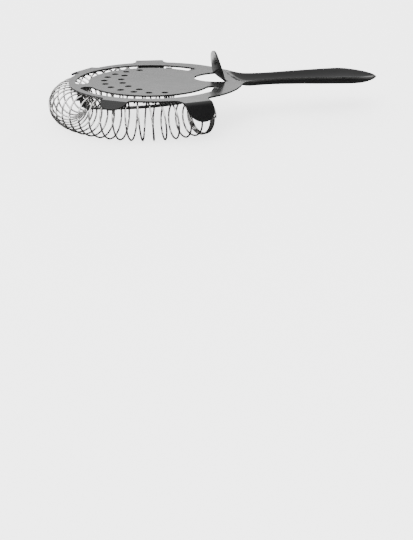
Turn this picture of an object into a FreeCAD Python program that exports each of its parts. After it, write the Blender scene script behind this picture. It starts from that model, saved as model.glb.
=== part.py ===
import FreeCAD, Part
import math
import os
from FreeCAD import Vector

# Hawthorne strainer: one pressed steel plate with a troughed handle, a finger tab, rim prongs
# and spring tongues, and one coil spring threaded on the tongues.
# Millimetres. The origin is the centre of the rim ring on its underside, the face that rests on
# a tin. +X runs out along the handle, +Z is up, and the shape is the same on both sides of Y = 0.

# ---------------------------------------------------------------- driving dimensions
SHEET = 0.9                     # thickness of the pressed sheet
RING_RADIUS = 44.9              # outside of the rim ring

DISC_CENTRE_X = -3.1            # disc and slots share this centre
DISC_RADIUS = 31.7              # inside of the arc slots
SLOT_OUTER_RADIUS = 38.5
SLOT_START_DEG = 34.0           # end of each slot on the handle's side
SLOT_STOP_DEG = 174.5           # end of each slot beside the front bridge

HOLE_RADIUS = 1.75              # perforations
OUTER_ARC_RADIUS = 26.7
OUTER_ARC_HOLES = 11
OUTER_ARC_STEP_DEG = 17.1
INNER_ARC_CENTRE_X = 12.4
INNER_ARC_RADIUS = 30.0
INNER_ARC_HOLES = 5
INNER_ARC_PITCH = 8.15

TAB_ROOT_X = 35.9               # bend line of the finger tab
TAB_HALF_WIDTH = 10.5
TAB_HEIGHT = 14.4               # above the top of the sheet
TAB_LEAN = 2.5                  # how far the tip leans on over the disc
TAB_BEND = 2.4                  # outer radius of the bend
TAB_LEVEL = 0.3                 # level run before the bend
FINGER_HOLE_LENGTH = 15.1
FINGER_HOLE_HALF_WIDTH = 11.0

PRONG_DEG = 80.0                # large prongs, either side of Y = 0
PRONG_REACH = 54.0              # outer face of the flap at its tip
PRONG_LEAN = 1.8                # how much further out the flap's tip is than its top
PRONG_HALF_WIDTH = 7.3
PRONG_ROOT_HALF_WIDTH = 8.6
PRONG_WAIST = 3.5               # from the rim to where the prong has its full-length width
PRONG_DROP = 9.1                # flap's tip below the ring's underside
PRONG_BEND = 2.4
PRONG_SKEW = 0.25               # flap runs this far towards the handle for each mm it goes down

LUG_DEG = 129.6                 # small sloping lugs
LUG_REACH = 54.0
LUG_BEND_RADIUS = 47.2          # where the lug starts to slope
LUG_DROP = 2.9
LUG_HALF_WIDTH = 7.4
LUG_ROOT_FLARE = 0.6            # lug is this much wider on each side where it meets the ring
LUG_TAPER = 0.5                 # and this much narrower where its round end starts
ROOT_OVERLAP = 3.0              # prongs and lugs start this far inside the rim, then are trimmed

TONGUE_OUTER_RADIUS = 38.2

WIRE_DIAMETER = 0.75
COIL_RADIUS = 9.55              # middle of the coil to middle of the wire
COIL_GAP = 0.2                  # coil's top below the ring's underside
COIL_CENTRE_X = -6.5
COIL_PATH_RADIUS = 39.3
TURN_DEG = 7.8                  # pitch of the open turns, about the coil's centre
OPEN_TURNS = 31
TURN_START_DEG = -59.55         # where the open turns start, with the wire at its outermost point
STRAIGHT_DEG = 66.0             # from here on, the coil's path runs straight on to each end
END_PITCH_DEG = 1.6             # pitch of the closed turns at the two ends
END_TURNS = 3
BODY_GAP = 0.2                  # wire cut back at each cut between bodies
POINTS_PER_TURN = 12

HANDLE_START_X = 40.0           # the flat plate turns into the neck here
HANDLE_TIP_X = 121.2
# Each station: X, half-width of the rim, top of the rim, depth of the trough below it.
# The rim heights and depths are measured on the upper face, from the ring's underside.
HANDLE_STATIONS = [
    (40.0, 20.4, 0.90, 0.0),
    (42.0, 16.9, 0.85, 0.5),
    (44.4, 13.9, 0.65, 1.5),
    (47.0, 11.2, 0.30, 2.7),
    (50.5, 9.3, 0.05, 3.4),
    (56.0, 8.2, 0.00, 3.5),
    (62.0, 8.1, 0.00, 3.5),
    (75.0, 9.0, -0.10, 3.9),
    (90.0, 10.8, -0.40, 4.4),
    (103.0, 12.2, -0.80, 4.6),
    (111.0, 10.6, -1.60, 3.9),
    (117.0, 6.9, -2.40, 2.4),
    (120.4, 2.6, -3.00, 0.8),
]

COIL_CENTRE_Z = -COIL_GAP - WIRE_DIAMETER / 2 - COIL_RADIUS


# ---------------------------------------------------------------- helpers
def cylinder(radius, x, y, z_low, z_high):
    """Upright cylinder."""
    return Part.makeCylinder(radius, z_high - z_low, Vector(x, y, z_low))


def prism(outline, z_low, z_high):
    """Solid over a closed plan outline, given as a list of edges at any height."""
    face = Part.Face(Part.Wire(outline))
    face.translate(Vector(0, 0, z_low))
    return face.extrude(Vector(0, 0, z_high - z_low))


def polygon(points):
    """Closed loop of straight edges."""
    return Part.makePolygon(points + [points[0]]).Edges


def polar(centre_x, radius, degrees, z=0.0):
    """Point on a circle about (centre_x, 0)."""
    angle = math.radians(degrees)
    return Vector(centre_x + radius * math.cos(angle), radius * math.sin(angle), z)


def turned(shape, degrees):
    """Copy turned about the strainer's own axis."""
    copy = shape.copy()
    copy.rotate(Vector(0, 0, 0), Vector(0, 0, 1), degrees)
    return copy


def mirrored(shape):
    """The same piece on the other side of Y = 0."""
    return shape.mirror(Vector(0, 0, 0), Vector(0, 1, 0))


def sector(centre_x, degrees_low, degrees_high, radius, z_low, z_high):
    """Wedge about (centre_x, 0), used to cut pieces apart. Under 180 degrees."""
    middle = (degrees_low + degrees_high) / 2
    reach = radius / math.cos(math.radians((degrees_high - degrees_low) / 2))
    points = [
        Vector(centre_x, 0, 0),
        polar(centre_x, reach, degrees_low),
        polar(centre_x, reach, middle),
        polar(centre_x, reach, degrees_high),
    ]
    return prism(polygon(points), z_low, z_high)


# ---------------------------------------------------------------- flat plate
def slot_cutter():
    """One arc slot with round ends, on the +Y side, taller than the sheet."""
    middle = (SLOT_OUTER_RADIUS + DISC_RADIUS) / 2
    end_radius = (SLOT_OUTER_RADIUS - DISC_RADIUS) / 2
    end_deg = math.degrees(math.asin(end_radius / middle))
    start = SLOT_START_DEG + end_deg
    stop = SLOT_STOP_DEG - end_deg
    halfway = (start + stop) / 2

    def arc(radius, first, last):
        return Part.Arc(
            polar(DISC_CENTRE_X, radius, first),
            polar(DISC_CENTRE_X, radius, halfway),
            polar(DISC_CENTRE_X, radius, last),
        ).toShape()

    def round_end(degrees, tip_degrees):
        return Part.Arc(
            polar(DISC_CENTRE_X, SLOT_OUTER_RADIUS, degrees),
            polar(DISC_CENTRE_X, middle, tip_degrees),
            polar(DISC_CENTRE_X, DISC_RADIUS, degrees),
        ).toShape()

    outline = [
        arc(SLOT_OUTER_RADIUS, start, stop),
        round_end(stop, SLOT_STOP_DEG),
        arc(DISC_RADIUS, start, stop),
        round_end(start, SLOT_START_DEG),
    ]
    outline = Part.__sortEdges__(outline)
    return prism(outline, -SHEET, 2 * SHEET), start


def finger_hole_cutter():
    """Half-ellipse that the finger tab is lanced from."""
    tip = Vector(TAB_ROOT_X - FINGER_HOLE_LENGTH, 0, 0)
    side = Vector(TAB_ROOT_X, FINGER_HOLE_HALF_WIDTH, 0)
    ellipse = Part.Ellipse(tip, side, Vector(TAB_ROOT_X, 0, 0))
    whole = prism([ellipse.toShape()], -SHEET, 2 * SHEET)
    length = 2 * FINGER_HOLE_LENGTH
    corner = Vector(TAB_ROOT_X - length, -length, -2 * SHEET)
    return whole.common(Part.makeBox(length, 2 * length, 5 * SHEET, corner))


def perforation_centres():
    """Two arcs of drain holes."""
    centres = []
    for index in range(OUTER_ARC_HOLES):
        step = index - (OUTER_ARC_HOLES - 1) / 2
        centres.append(polar(0, OUTER_ARC_RADIUS, 180 + step * OUTER_ARC_STEP_DEG))
    for index in range(INNER_ARC_HOLES):
        y = (index - (INNER_ARC_HOLES - 1) / 2) * INNER_ARC_PITCH
        x = INNER_ARC_CENTRE_X - math.sqrt(INNER_ARC_RADIUS ** 2 - y ** 2)
        centres.append(Vector(x, y, 0))
    return centres


def flat_plate():
    """The flat of the pressing, cut into disc, rim ring and shoulder where they meet."""
    slot, slot_round_deg = slot_cutter()
    blank = cylinder(RING_RADIUS, 0, 0, 0, SHEET)
    blank = blank.cut(slot)
    blank = blank.cut(mirrored(slot))
    blank = blank.cut(finger_hole_cutter())
    blank = blank.cut(Part.makeBox(20, 100, 5, Vector(HANDLE_START_X, -50, -2)))
    disc_cylinder = cylinder(DISC_RADIUS, DISC_CENTRE_X, 0, -SHEET, 2 * SHEET)
    disc = blank.common(disc_cylinder)
    for centre in perforation_centres():
        disc = disc.cut(cylinder(HOLE_RADIUS, centre.x, centre.y, -SHEET, 2 * SHEET))
    outside = blank.cut(disc_cylinder)
    wedge = sector(DISC_CENTRE_X, -slot_round_deg, slot_round_deg, 60, -SHEET, 2 * SHEET)
    return disc, outside.cut(wedge), outside.common(wedge)


# ---------------------------------------------------------------- handle
def handle_section(x, half_width, rim_top, depth):
    """Closed cross-section of the trough: a shallow bow of sheet, flat where depth is 0."""
    steps = 8
    top = []
    bottom = []
    for index in range(steps + 1):
        across = -1 + 2 * index / steps
        drop = depth * (1 - abs(across) ** 3)
        top.append(Vector(x, across * half_width, rim_top - drop))
        bottom.append(Vector(x, across * half_width, rim_top - drop - SHEET))
    upper = Part.BSplineCurve()
    upper.interpolate(top)
    lower = Part.BSplineCurve()
    lower.interpolate(bottom)
    return Part.Wire([
        upper.toShape(),
        Part.makeLine(top[-1], bottom[-1]),
        lower.toShape(),
        Part.makeLine(bottom[0], top[0]),
    ])


def handle():
    """Neck and trough, from the flat plate out to the rounded point."""
    sections = [handle_section(*station) for station in HANDLE_STATIONS]
    body = Part.makeLoft(sections, True, False)
    x, half_width, rim_top, depth = HANDLE_STATIONS[-1]
    radius = HANDLE_TIP_X - x
    tip_top = rim_top - depth
    tip = Part.makeBox(radius, 2 * half_width, SHEET, Vector(x, -half_width, tip_top - SHEET))
    ellipse = Part.Ellipse(
        Vector(x, half_width, 0), Vector(x + radius, 0, 0), Vector(x, 0, 0))
    tip = tip.common(prism([ellipse.toShape()], tip_top - 5, tip_top + 5))
    return body, tip


# ---------------------------------------------------------------- bent tab, prongs and lugs
def bent_strip(bend_end, z_tip, lean, bend, half_width):
    """Sheet that leaves X = 0 level, bends through a right angle and ends at height z_tip.

    It bends up for a positive z_tip and down for a negative one. bend is the outer radius,
    bend_end the X of the outer face and lean how far the tip runs on past it.
    """
    up = z_tip > 0
    outer_z = 0.0 if up else SHEET
    inner_z = SHEET - outer_z
    sign = 1 if up else -1
    centre = Vector(bend_end - bend, 0, outer_z + sign * bend)
    tip = Vector(lean, 0, z_tip - centre.z)

    def face_edges(radius, level_z):
        chord = radius * math.sqrt(0.5)
        level_end = Vector(centre.x, 0, level_z)
        middle = centre + Vector(chord, 0, -sign * chord)
        rise = centre + Vector(radius, 0, 0)
        edges = [
            Part.makeLine(Vector(0, 0, level_z), level_end),
            Part.Arc(level_end, middle, rise).toShape(),
            Part.makeLine(rise, rise + tip),
        ]
        return edges, rise + tip

    outer, outer_tip = face_edges(bend, outer_z)
    inner, inner_tip = face_edges(bend - SHEET, inner_z)
    root = Part.makeLine(Vector(0, 0, outer_z), Vector(0, 0, inner_z))
    end = Part.makeLine(outer_tip, inner_tip)
    profile = Part.Face(Part.Wire(Part.__sortEdges__(outer + inner + [root, end])))
    profile.translate(Vector(0, -half_width, 0))
    return profile.extrude(Vector(0, 2 * half_width, 0))


def round_front(half_width, z_shoulder, z_tip, z_root):
    """Full-width blade seen along X: straight sides from z_root, an elliptic end at z_tip."""
    rise = z_tip - z_shoulder
    across = Vector(0, half_width, z_shoulder)
    along = Vector(0, 0, z_tip)
    major, minor = (along, across) if abs(rise) >= half_width else (across, along)
    ellipse = Part.Ellipse(major, minor, Vector(0, 0, z_shoulder))
    blade = Part.Face(Part.Wire([ellipse.toShape()])).extrude(Vector(100, 0, 0))
    low, high = sorted((z_shoulder, z_root))
    sides = Part.makeBox(100, 2 * half_width, high - low, Vector(0, -half_width, low))
    return blade.fuse(sides)


def finger_tab():
    """Tab lanced out of the finger hole and bent up at its root."""
    tip_z = SHEET + TAB_HEIGHT
    strip = bent_strip(TAB_LEVEL + TAB_BEND, tip_z, TAB_LEAN, TAB_BEND, TAB_HALF_WIDTH)
    tab = strip.common(round_front(TAB_HALF_WIDTH, SHEET, tip_z, -SHEET))
    tab = tab.mirror(Vector(0, 0, 0), Vector(1, 0, 0))
    tab.translate(Vector(TAB_ROOT_X, 0, 0))
    return tab


def prong_front():
    """Prong seen along X: wide at the root, then a round-ended flap that runs sideways."""
    steps = 12
    shoulder = PRONG_HALF_WIDTH - PRONG_DROP
    curve = []
    for index in range(steps + 1):
        angle = math.pi * index / steps
        z = shoulder - PRONG_HALF_WIDTH * math.sin(angle)
        y = PRONG_HALF_WIDTH * math.cos(angle) + PRONG_SKEW * z
        curve.append(Vector(0, y, z))
    end = Part.BSplineCurve()
    end.interpolate(curve)
    sides = Part.makePolygon([
        curve[-1],
        Vector(0, -PRONG_HALF_WIDTH, 0),
        Vector(0, -PRONG_HALF_WIDTH, 2 * SHEET),
        Vector(0, PRONG_HALF_WIDTH, 2 * SHEET),
        Vector(0, PRONG_HALF_WIDTH, 0),
        curve[0],
    ])
    flap = Part.Face(Part.Wire([end.toShape()] + sides.Edges)).extrude(Vector(100, 0, 0))
    corner = Vector(0, -PRONG_ROOT_HALF_WIDTH, 0)
    root = Part.makeBox(
        RING_RADIUS + PRONG_WAIST, 2 * PRONG_ROOT_HALF_WIDTH, 2 * SHEET, corner)
    return flap.fuse(root)


def rim_prong():
    """Large prong: level off the rim, then a round-ended flap steeply down. Points along +X."""
    level_start = RING_RADIUS - ROOT_OVERLAP
    flap_top = PRONG_REACH - PRONG_LEAN - level_start
    wide = PRONG_ROOT_HALF_WIDTH + ROOT_OVERLAP
    strip = bent_strip(flap_top, -PRONG_DROP, PRONG_LEAN, PRONG_BEND, wide)
    strip.translate(Vector(level_start, 0, 0))
    waist = RING_RADIUS + PRONG_WAIST
    plan = polygon([
        Vector(level_start, -PRONG_ROOT_HALF_WIDTH, 0),
        Vector(RING_RADIUS, -PRONG_ROOT_HALF_WIDTH, 0),
        Vector(waist, -PRONG_HALF_WIDTH, 0),
        Vector(waist, -wide, 0),
        Vector(PRONG_REACH + 1, -wide, 0),
        Vector(PRONG_REACH + 1, wide, 0),
        Vector(waist, wide, 0),
        Vector(waist, PRONG_HALF_WIDTH, 0),
        Vector(RING_RADIUS, PRONG_ROOT_HALF_WIDTH, 0),
        Vector(level_start, PRONG_ROOT_HALF_WIDTH, 0),
    ])
    prong = strip.common(prism(plan, -20, 5)).common(prong_front())
    return prong.cut(cylinder(RING_RADIUS, 0, 0, -20, 5))


def rim_lug():
    """Small lug: leaves the rim level and slopes down to a round end. Points along +X."""
    start = RING_RADIUS - ROOT_OVERLAP
    slope = LUG_DROP / (LUG_REACH - LUG_BEND_RADIUS)
    bend_shift = SHEET * (math.sqrt(1 + slope ** 2) - 1) / slope
    profile = polygon([
        Vector(start, 0, 0),
        Vector(LUG_BEND_RADIUS, 0, 0),
        Vector(LUG_REACH, 0, -LUG_DROP),
        Vector(LUG_REACH, 0, -LUG_DROP + SHEET * math.sqrt(1 + slope ** 2)),
        Vector(LUG_BEND_RADIUS + bend_shift, 0, SHEET),
        Vector(start, 0, SHEET),
    ])
    strip = Part.Face(Part.Wire(profile))
    strip.translate(Vector(0, -2 * LUG_HALF_WIDTH, 0))
    strip = strip.extrude(Vector(0, 4 * LUG_HALF_WIDTH, 0))
    end_x = LUG_BEND_RADIUS - LUG_TAPER
    end_y = LUG_HALF_WIDTH - LUG_TAPER
    root_y = LUG_HALF_WIDTH + LUG_ROOT_FLARE
    ellipse = Part.Ellipse(Vector(LUG_REACH, 0, 0), Vector(end_x, end_y, 0), Vector(end_x, 0, 0))
    plan = prism([ellipse.toShape()], -20, 5)
    root = prism(polygon([
        Vector(start, -root_y, 0),
        Vector(RING_RADIUS, -LUG_HALF_WIDTH, 0),
        Vector(end_x, -end_y, 0),
        Vector(end_x, end_y, 0),
        Vector(RING_RADIUS, LUG_HALF_WIDTH, 0),
        Vector(start, root_y, 0),
    ]), -20, 5)
    return strip.common(plan.fuse(root)).cut(cylinder(RING_RADIUS, 0, 0, -20, 5))


# ---------------------------------------------------------------- spring tongues
# Each station: angle about the disc's centre, width, height of the strip's underside.
TONGUE_STATIONS = [
    (33.0, 3.0, 0.0),
    (38.0, 3.0, -0.1),
    (42.0, 3.0, -1.4),
    (46.0, 3.0, -2.3),
    (54.0, 3.0, -2.5),
    (64.0, 3.0, -2.5),
    (76.0, 3.1, -2.8),
    (90.0, 3.3, -3.3),
    (106.0, 3.6, -4.1),
    (122.0, 3.8, -5.1),
    (138.0, 3.8, -6.4),
    (152.0, 3.6, -7.6),
    (164.0, 3.4, -8.6),
    (170.0, 3.2, -8.7),
    (173.5, 3.0, -7.4),
    (175.8, 2.6, -5.3),
]


def spring_tongue(flat):
    """Strip sheared from the slot, stepped down and sloping away; its free end turns up."""
    sections = []
    middles = []
    for degrees, width, z in TONGUE_STATIONS:
        middles.append(polar(DISC_CENTRE_X, TONGUE_OUTER_RADIUS - width / 2, degrees, z))
    for index, (degrees, width, z) in enumerate(TONGUE_STATIONS):
        before = middles[max(index - 1, 0)]
        after = middles[min(index + 1, len(middles) - 1)]
        along = (after - before).normalize()
        outward = polar(0, 1, degrees)
        normal = along.cross(outward)
        normal = normal if normal.z > 0 else -normal
        normal = normal.normalize() * SHEET
        inside = polar(DISC_CENTRE_X, TONGUE_OUTER_RADIUS - width, degrees, z)
        outside = polar(DISC_CENTRE_X, TONGUE_OUTER_RADIUS, degrees, z)
        corners = [inside, outside, outside + normal, inside + normal]
        sections.append(Part.Wire(polygon(corners)))
    tongue = Part.makeLoft(sections, True, False)
    for neighbour in flat:
        tongue = tongue.cut(neighbour)
    return max(tongue.Solids, key=lambda solid: solid.Volume)


# ---------------------------------------------------------------- coil spring
def coil_point(path_degrees, wire_degrees):
    """Middle of the wire; wire_degrees is 0 at the coil's top and 90 at its outermost point."""
    side = 1 if path_degrees > -180 else -1
    from_end = path_degrees if side > 0 else -360 - path_degrees
    straight = max(0.0, STRAIGHT_DEG + from_end)
    direction = side * (from_end - straight)
    around = math.radians(wire_degrees)
    radius = COIL_PATH_RADIUS + COIL_RADIUS * math.sin(around)
    z = COIL_CENTRE_Z + COIL_RADIUS * math.cos(around)
    run = side * math.radians(straight) * COIL_PATH_RADIUS
    return polar(COIL_CENTRE_X, radius, direction, z) + polar(0, run, direction + 90)


def path_degrees_at(turns):
    """Angle about the coil's centre after a number of turns, with closed turns at both ends.

    Turns run clockwise seen from above, from the near end round the front, so angles fall.
    """
    opened = min(max(turns, 0), OPEN_TURNS)
    return TURN_START_DEG - opened * TURN_DEG - (turns - opened) * END_PITCH_DEG


def coil_piece(first_turn, last_turn, cut_first, cut_last):
    """Round wire wound from one turn number to another; a cut end is set back by the gap."""
    set_back = BODY_GAP / (2 * math.pi * COIL_RADIUS)
    first = first_turn + (set_back if cut_first else 0)
    last = last_turn - (set_back if cut_last else 0)
    steps = max(4, round((last - first) * POINTS_PER_TURN))
    points = []
    for index in range(steps + 1):
        turns = first + (last - first) * index / steps
        points.append(coil_point(path_degrees_at(turns), 90 - 360 * turns))
    curve = Part.BSplineCurve()
    curve.interpolate(points)
    edge = curve.toShape()
    tangent = curve.tangent(curve.FirstParameter)[0]
    circle = Part.makeCircle(WIRE_DIAMETER / 2, points[0], tangent)
    piece = Part.Wire([edge]).makePipeShell([Part.Wire([circle])], True, True)
    expected = math.pi * WIRE_DIAMETER ** 2 / 4 * edge.Length
    if not piece.isValid() or abs(piece.Volume / expected - 1) > 0.01:
        raise ValueError(f"coil from turn {first_turn} has volume {piece.Volume}, not {expected}")
    return piece


# Stretches of the coil in order from the near end: name, turn numbers where it is divided.
# Each division is one solid, and stretches that move against each other are a little apart.
COIL_STRETCHES = [
    ("spring_near_end", [-END_TURNS, -1, 0]),
    ("spring_near_side", [0, 2, 5]),
    ("spring_near_corner", [5, 7, 9]),
    ("spring_front_bow", [9, 11, 14, 17, 20, 22]),
    ("spring_far_corner", [22, 24, 26]),
    ("spring_far_side", [26, 29, OPEN_TURNS]),
    ("spring_far_end", [OPEN_TURNS, 32, OPEN_TURNS + END_TURNS]),
]


def coil_stretch(divisions):
    """All the solids of one stretch of the coil."""
    pieces = []
    for first_turn, last_turn in zip(divisions, divisions[1:]):
        cut_first = first_turn == divisions[0] and first_turn > -END_TURNS
        cut_last = last_turn == divisions[-1] and last_turn < OPEN_TURNS + END_TURNS
        pieces.append(coil_piece(first_turn, last_turn, cut_first, cut_last))
    return Part.makeCompound(pieces)


# ---------------------------------------------------------------- all sub-parts
def build():
    """Name and shape of every sub-part."""
    disc, ring, shoulder = flat_plate()
    trough, tip = handle()
    far_prong = turned(rim_prong(), PRONG_DEG)
    far_lug = turned(rim_lug(), LUG_DEG)
    far_tongue = spring_tongue([disc, ring, shoulder])
    parts = {
        "strainer_disc": disc,
        "rim_ring": ring,
        "shoulder": shoulder,
        "handle": trough.fuse(tip).removeSplitter(),
        "finger_tab": finger_tab(),
        "far_rim_prong": far_prong,
        "near_rim_prong": mirrored(far_prong),
        "far_rim_lug": far_lug,
        "near_rim_lug": mirrored(far_lug),
        "far_spring_tongue": far_tongue,
        "near_spring_tongue": mirrored(far_tongue),
    }
    for name, divisions in COIL_STRETCHES:
        parts[name] = coil_stretch(divisions)
    return parts


os.makedirs("parts", exist_ok=True)
for name, shape in build().items():
    solids = len(shape.Solids)
    print(f"{name}: {solids} solid(s), {shape.Volume:.1f} mm3, valid {shape.isValid()}")
    shape.exportStep(f"parts/{name}.step")
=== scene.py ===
"""Finished look of a hawthorne strainer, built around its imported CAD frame.

The strainer is one pressed sheet of black-coated steel and one bright coil spring. The sheet is
laid out flat, cut to its outline, formed by a few bend and draw functions and divided at its
bends into named pieces. The spring is a round wire wound round a circular path.
"""

import logging
import math
from dataclasses import dataclass, field
from enum import Enum
from typing import Callable, Sequence

import bpy
import numpy as np
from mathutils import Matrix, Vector
from mathutils.geometry import delaunay_2d_cdt
from mathutils.kdtree import KDTree


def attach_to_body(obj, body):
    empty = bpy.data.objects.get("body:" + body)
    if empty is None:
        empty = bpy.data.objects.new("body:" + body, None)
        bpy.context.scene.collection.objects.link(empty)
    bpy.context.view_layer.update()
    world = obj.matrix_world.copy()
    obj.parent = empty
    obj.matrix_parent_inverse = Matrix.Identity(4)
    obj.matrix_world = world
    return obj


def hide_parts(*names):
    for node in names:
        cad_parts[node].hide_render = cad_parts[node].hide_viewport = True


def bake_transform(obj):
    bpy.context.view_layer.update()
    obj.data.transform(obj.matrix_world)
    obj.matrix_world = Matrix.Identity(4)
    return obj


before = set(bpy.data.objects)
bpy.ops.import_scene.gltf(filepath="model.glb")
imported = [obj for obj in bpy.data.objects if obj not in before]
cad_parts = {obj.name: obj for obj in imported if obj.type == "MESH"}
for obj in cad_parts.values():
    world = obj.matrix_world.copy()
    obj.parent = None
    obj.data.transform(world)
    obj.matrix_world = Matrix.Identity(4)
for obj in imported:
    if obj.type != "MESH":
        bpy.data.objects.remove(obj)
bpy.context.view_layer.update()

MM = 0.001
LOG = logging.getLogger("strainer")

Form = Callable[[np.ndarray], np.ndarray]


class Slot(Enum):
    """Material slots named in the record."""

    PLATE = "black_plate"
    WIRE = "spring_wire"


class Side(Enum):
    """The two sides of the handle's centre plane."""

    NEAR = -1
    FAR = 1

    @property
    def word(self) -> str:
        """Lower-case word used in names."""
        return self.name.lower()


# ---------------------------------------------------------------- small geometry helpers
def polar(radius: float, degrees: np.ndarray | float, centre_x: float = 0.0) -> np.ndarray:
    """Points on a circle about (centre_x, 0).

    Args:
        radius: circle's radius in millimetres.
        degrees: one angle or an array of them.
        centre_x: X of the circle's centre.

    Returns:
        An array of X, Y pairs.
    """
    angle = np.radians(np.atleast_1d(degrees))
    return np.column_stack([centre_x + radius * np.cos(angle), radius * np.sin(angle)])


def turn(points: np.ndarray, degrees: float) -> np.ndarray:
    """Turns plan points about the strainer's axis.

    Args:
        points: X, Y pairs.
        degrees: angle, anticlockwise from above.

    Returns:
        The turned pairs.
    """
    c, s = math.cos(math.radians(degrees)), math.sin(math.radians(degrees))
    return points @ np.array([[c, s], [-s, c]])


def mirror(points: np.ndarray) -> np.ndarray:
    """Plan points on the other side of the centre plane, in reverse order."""
    return (points * (1, -1))[::-1]


def smooth_curve(x: np.ndarray, knots: Sequence[tuple[float, float]]) -> np.ndarray:
    """Value of a smooth curve through a few knots.

    Args:
        x: where to read the curve.
        knots: (x, value) pairs in rising x; the curve keeps its end values outside them.

    Returns:
        The values, without overshoot between knots.
    """
    kx, ky = np.array(knots, float).T
    step, rise = np.diff(kx), np.diff(ky)
    slope = rise / step
    tangent = np.zeros(len(kx))
    same_way = slope[1:] * slope[:-1] > 0
    weight_a, weight_b = 2 * step[1:] + step[:-1], step[1:] + 2 * step[:-1]
    with np.errstate(divide="ignore"):
        harmonic = (weight_a + weight_b) / (weight_a / slope[:-1] + weight_b / slope[1:])
    tangent[1:-1] = np.where(same_way, harmonic, 0)
    tangent[0], tangent[-1] = slope[0], slope[-1]
    at = np.clip(x, kx[0], kx[-1])
    i = np.clip(np.searchsorted(kx, at, side="right") - 1, 0, len(step) - 1)
    t, h = (at - kx[i]) / step[i], step[i]
    left = (1 + 2 * t) * (1 - t) ** 2 * ky[i] + t * (1 - t) ** 2 * h * tangent[i]
    right = t * t * (3 - 2 * t) * ky[i + 1] + t * t * (t - 1) * h * tangent[i + 1]
    return left + right


def even_points(points: np.ndarray, spacing: float) -> np.ndarray:
    """Spaces the points of an open line evenly, and keeps both ends.

    Args:
        points: the line's points.
        spacing: largest distance between two points.

    Returns:
        New points along the same line.
    """
    lengths = np.linalg.norm(np.diff(points, axis=0), axis=1)
    along = np.concatenate([[0], np.cumsum(lengths)])
    count = max(2, int(math.ceil(along[-1] / spacing)) + 1)
    wanted = np.linspace(0, along[-1], count)
    return np.column_stack([np.interp(wanted, along, column) for column in points.T])


def rounded_corners(corners: Sequence[tuple[float, float, float]], spacing: float) -> np.ndarray:
    """Open line through corners, each with its own radius.

    Args:
        corners: (x, y, radius) with radius 0 at the two ends.
        spacing: distance between points.

    Returns:
        Points along the line.
    """
    path = [np.array(corners[0][:2], float)]
    for before, corner, after in zip(corners, corners[1:], corners[2:]):
        point, radius = np.array(corner[:2], float), corner[2]
        back = np.array(before[:2]) - point
        ahead = np.array(after[:2]) - point
        back, ahead = back / np.linalg.norm(back), ahead / np.linalg.norm(ahead)
        half = math.acos(float(np.clip(back @ ahead, -1, 1))) / 2
        if radius == 0 or half > math.radians(89.5):
            path.append(point)
            continue
        reach = radius / math.tan(half)
        middle = back + ahead
        centre = point + middle / np.linalg.norm(middle) * radius / math.sin(half)
        first, last = point + back * reach - centre, point + ahead * reach - centre
        sweep = math.pi - 2 * half
        turn_way = np.sign(first[0] * last[1] - first[1] * last[0])
        for share in np.linspace(0, 1, max(3, int(sweep * radius / spacing) + 2)):
            angle = turn_way * sweep * share
            c, s = math.cos(angle), math.sin(angle)
            path.append(centre + (first[0] * c - first[1] * s, first[0] * s + first[1] * c))
    path.append(np.array(corners[-1][:2], float))
    return even_points(np.array(path), spacing)


# ---------------------------------------------------------------- pressed sheet
@dataclass
class Outline:
    """Closed line of a flat pattern, with the sheet on its left-hand side.

    Attributes:
        points: the line's points in millimetres.
        joined: for each point, whether a neighbouring piece carries the sheet on there, so
            that its edge isn't rounded.
    """

    points: np.ndarray
    joined: np.ndarray | None = None

    def __post_init__(self) -> None:
        """Drops doubled points and fills in joined."""
        keep = np.linalg.norm(self.points - np.roll(self.points, 1, axis=0), axis=1) > 1e-4
        if self.joined is None:
            self.joined = np.zeros(len(self.points), bool)
        self.points, self.joined = self.points[keep], self.joined[keep]

    def outward(self) -> np.ndarray:
        """Unit vectors that point out of the sheet."""
        ahead = np.roll(self.points, -1, axis=0) - self.points
        behind = self.points - np.roll(self.points, 1, axis=0)
        ahead /= np.linalg.norm(ahead, axis=1)[:, None]
        behind /= np.linalg.norm(behind, axis=1)[:, None]
        along = ahead + behind
        along /= np.linalg.norm(along, axis=1)[:, None]
        return np.column_stack([along[:, 1], -along[:, 0]])


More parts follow.
